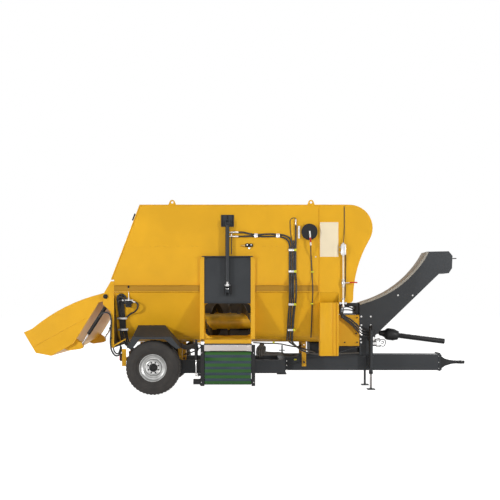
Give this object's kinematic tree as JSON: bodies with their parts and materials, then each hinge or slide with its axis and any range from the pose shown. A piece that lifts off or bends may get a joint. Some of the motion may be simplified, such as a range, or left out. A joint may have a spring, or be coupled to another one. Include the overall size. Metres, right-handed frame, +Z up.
{
  "type": "feed mixer wagon",
  "caption": "Trailed feed mixer wagon: open tub with lying augers, side door and conveyor, rear loading shovel, drawbar and drive shaft.",
  "frame": {"origin": "on the ground, in the middle of the length and the width", "axes": "+X forward along the drawbar, +Y to the wagon's left, +Z up"},
  "size_m": [6.94, 2, 2.9411],
  "materials": {
    "yellow_paint": "gloss paint",
    "grey_paint": "satin paint",
    "black_paint": "satin paint",
    "tyre_rubber": "matt",
    "hose_rubber": "matt",
    "belt_rubber": "matt",
    "bare_steel": "bright",
    "silver_paint": "satin metallic",
    "white_plastic": "matt"
  },
  "bodies": {
    "wagon": {"arm_mount": "yellow_paint", "axle": "black_paint", "cable_reel": "black_paint", "chassis_frame": "grey_paint", "chute_plate": "yellow_paint", "conveyor_bracket": "yellow_paint", "coupling_block": "silver_paint", "door_barrel": "black_paint", "door_guide_front": "yellow_paint", "door_guide_rear": "yellow_paint", "drawbar": "grey_paint", "front_arm": "grey_paint", "front_column_left": "yellow_paint", "front_column_right": "yellow_paint", "front_hood": "yellow_paint", "front_wall": "yellow_paint", "gearbox": "black_paint", "hose_bundle_rear": "hose_rubber", "hose_bundle_side": "hose_rubber", "jack_left": "black_paint", "jack_right": "black_paint", "lamp_bar": "yellow_paint", "load_bracket_front_left": "yellow_paint", "load_bracket_front_right": "yellow_paint", "load_bracket_rear_left": "yellow_paint", "load_bracket_rear_right": "yellow_paint", "lower_panel_left": "yellow_paint", "lower_panel_right": "yellow_paint", "mudguard_left": "grey_paint", "mudguard_right": "grey_paint", "rear_post_left": "yellow_paint", "rear_post_right": "yellow_paint", "rear_wall": "yellow_paint", "tow_eye": "black_paint", "trough": "yellow_paint", "upper_panel_left": "yellow_paint", "upper_panel_right": "yellow_paint"},
    "wheel_right": {"tyre_right": "tyre_rubber", "rim_right": "silver_paint"},
    "wheel_left": {"tyre_left": "tyre_rubber", "rim_left": "silver_paint"},
    "auger_right_body": {"auger_right": "yellow_paint"},
    "auger_left_body": {"auger_left": "yellow_paint"},
    "drive_shaft_body": {"drive_shaft": "black_paint"},
    "door": {"discharge_door": "grey_paint", "door_rod": "bare_steel"},
    "conveyor": {"conveyor_frame": "black_paint", "conveyor_belt": "belt_rubber", "conveyor_guard": "white_plastic", "conveyor_motor": "black_paint"},
    "conveyor_cylinder": {"conveyor_barrel": "black_paint"},
    "conveyor_cylinder_rod": {"conveyor_rod": "bare_steel"},
    "shovel_body": {"shovel": "yellow_paint"},
    "shovel_cylinder_right": {"shovel_barrel_right": "black_paint"},
    "shovel_cylinder_rod_right": {"shovel_rod_right": "bare_steel"},
    "shovel_cylinder_left": {"shovel_barrel_left": "black_paint"},
    "shovel_cylinder_rod_left": {"shovel_rod_left": "bare_steel"}
  },
  "joints": [
    {"name": "wheel_right_spin", "type": "hinge", "parent": "wagon", "child": "wheel_right", "pos_m": [-1.507, -0.858, 0.412], "axis": [0, 1, 0], "continuous": true},
    {"name": "wheel_left_spin", "type": "hinge", "parent": "wagon", "child": "wheel_left", "pos_m": [-1.507, 0.858, 0.412], "axis": [0, 1, 0], "continuous": true},
    {"name": "auger_right_spin", "type": "hinge", "parent": "wagon", "child": "auger_right_body", "pos_m": [-0.389, -0.335, 1.09], "axis": [1, 0, 0], "continuous": true},
    {"name": "auger_left_spin", "type": "hinge", "parent": "wagon", "child": "auger_left_body", "pos_m": [-0.389, 0.335, 1.09], "axis": [1, 0, 0], "continuous": true},
    {"name": "drive_shaft_spin", "type": "hinge", "parent": "wagon", "child": "drive_shaft_body", "pos_m": [2.06, 0, 0.893], "axis": [0.9917, 0, -0.1288], "continuous": true},
    {"name": "door_slide", "type": "slide", "parent": "wagon", "child": "door", "axis": [0, 0, 1], "range_m": [-0.54, 0]},
    {"name": "conveyor_hinge", "type": "hinge", "parent": "wagon", "child": "conveyor", "pos_m": [-0.381, -0.83, 0.63], "axis": [-1, 0, 0], "range_deg": [0, 72]},
    {"name": "conveyor_cylinder_pivot", "type": "hinge", "parent": "wagon", "child": "conveyor_cylinder", "pos_m": [-0.86, -0.9, 0.8], "axis": [-1, 0, 0], "range_deg": [0, 51.3]},
    {"name": "conveyor_cylinder_stroke", "type": "slide", "parent": "conveyor_cylinder", "child": "conveyor_cylinder_rod", "axis": [0, -0.0611, -0.9981], "range_m": [-0.1667, 0]},
    {"name": "shovel_hinge", "type": "hinge", "parent": "wagon", "child": "shovel_body", "pos_m": [-2.226, 0, 1.485], "axis": [0, 1, 0], "range_deg": [-28, 133]},
    {"name": "shovel_cylinder_right_pivot", "type": "hinge", "parent": "wagon", "child": "shovel_cylinder_right", "pos_m": [-2.211, -0.79, 1.387], "axis": [0, 1, 0], "range_deg": [-27.8, 131.8]},
    {"name": "shovel_cylinder_right_stroke", "type": "slide", "parent": "shovel_cylinder_right", "child": "shovel_cylinder_rod_right", "axis": [-0.5372, 0, -0.8434], "range_m": [-0.0331, 0.1568]},
    {"name": "shovel_cylinder_left_pivot", "type": "hinge", "parent": "wagon", "child": "shovel_cylinder_left", "pos_m": [-2.211, 0.79, 1.387], "axis": [0, 1, 0], "range_deg": [-27.8, 131.8]},
    {"name": "shovel_cylinder_left_stroke", "type": "slide", "parent": "shovel_cylinder_left", "child": "shovel_cylinder_rod_left", "axis": [-0.5372, 0, -0.8434], "range_m": [-0.0331, 0.1568]}
  ],
  "couplings": [
    {"joint": "conveyor_cylinder_pivot", "follows": "conveyor_hinge", "ratio": 0.71},
    {"joint": "conveyor_cylinder_stroke", "follows": "conveyor_hinge", "m_per_rad": -0.1325},
    {"joint": "shovel_cylinder_right_pivot", "follows": "shovel_hinge", "ratio": 0.99},
    {"joint": "shovel_cylinder_right_stroke", "follows": "shovel_hinge", "m_per_rad": 0.0675},
    {"joint": "shovel_cylinder_left_pivot", "follows": "shovel_hinge", "ratio": 0.99},
    {"joint": "shovel_cylinder_left_stroke", "follows": "shovel_hinge", "m_per_rad": 0.0675}
  ]
}
